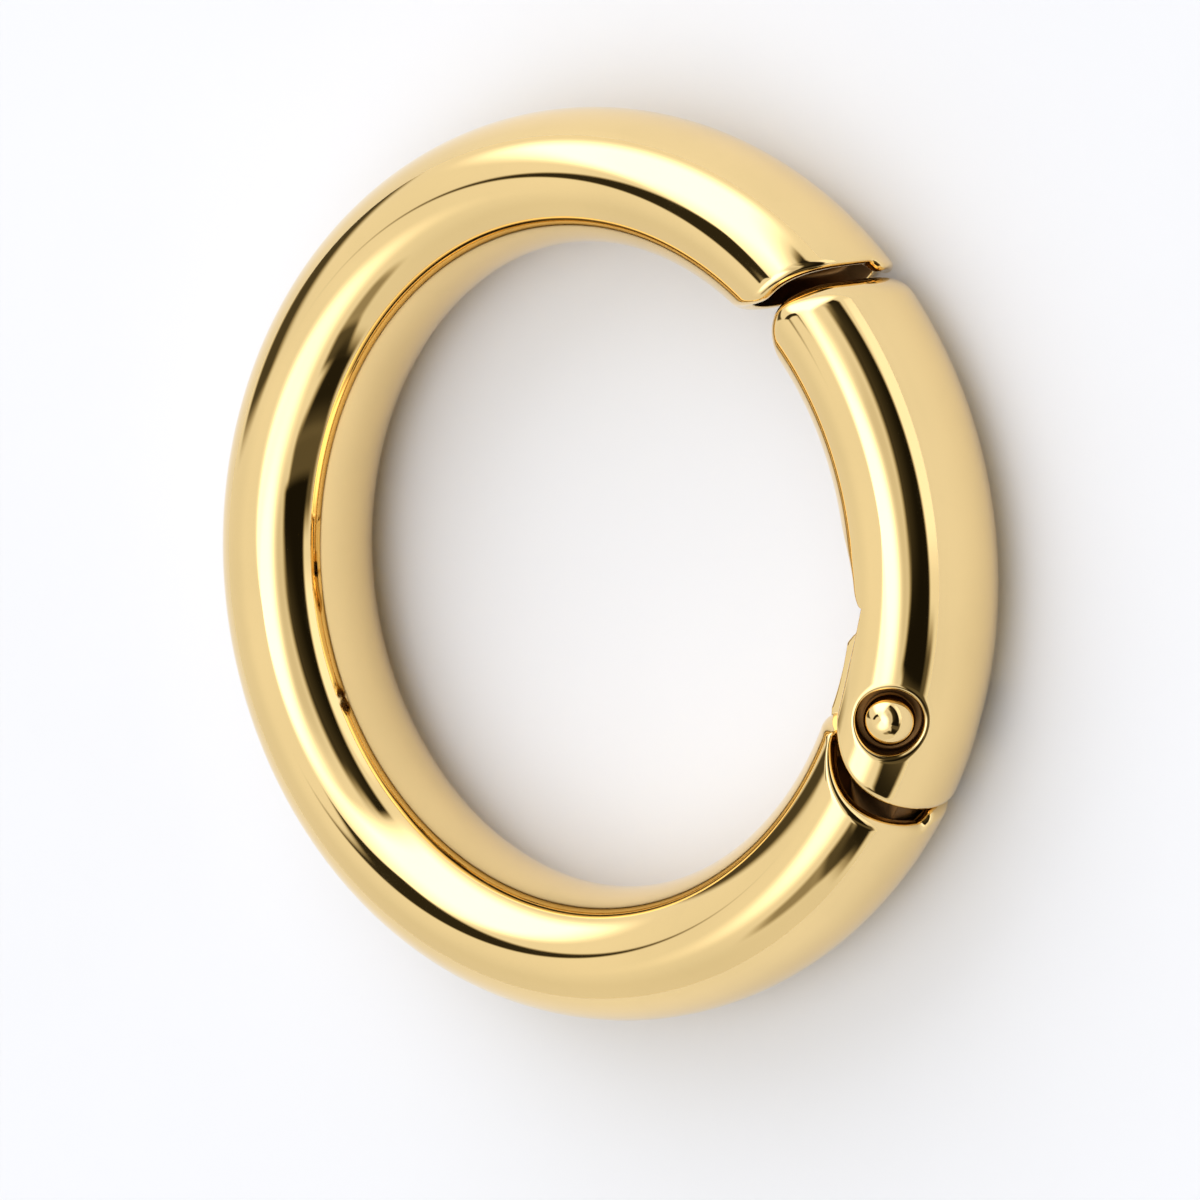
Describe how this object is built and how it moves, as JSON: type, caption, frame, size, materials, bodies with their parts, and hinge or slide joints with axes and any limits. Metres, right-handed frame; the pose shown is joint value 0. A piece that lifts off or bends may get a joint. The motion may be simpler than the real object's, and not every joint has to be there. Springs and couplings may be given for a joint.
{
  "type": "spring gate ring",
  "caption": "Round oval-section ring closed by a hinged gate that swings inward on a domed pin and springs shut, for joining straps, loops and chains.",
  "frame": {"origin": "centre of the ring at the surface that it lies on", "axes": "+Z along the ring's axis, up; +X from the centre towards the gate; +Y towards the gate's free end side"},
  "size_m": [0.0354, 0.0354, 0.0069],
  "materials": {
    "gold": "mirror polished light gold plating on zinc alloy",
    "spring_steel": "bright drawn wire"
  },
  "bodies": {
    "ring": {"ring_body": "gold"},
    "gate": {"gate": "gold", "hinge_pin": "gold", "torsion_spring": "spring_steel"}
  },
  "joints": [
    {"name": "gate_hinge", "type": "hinge", "parent": "ring", "child": "gate", "pos_m": [0.0153, -0.00485, 0.00343], "axis": [0, 0, 1], "range_deg": [0, 35], "stiffness_Nm_per_rad": 0.03, "springref_deg": -25.78}
  ]
}
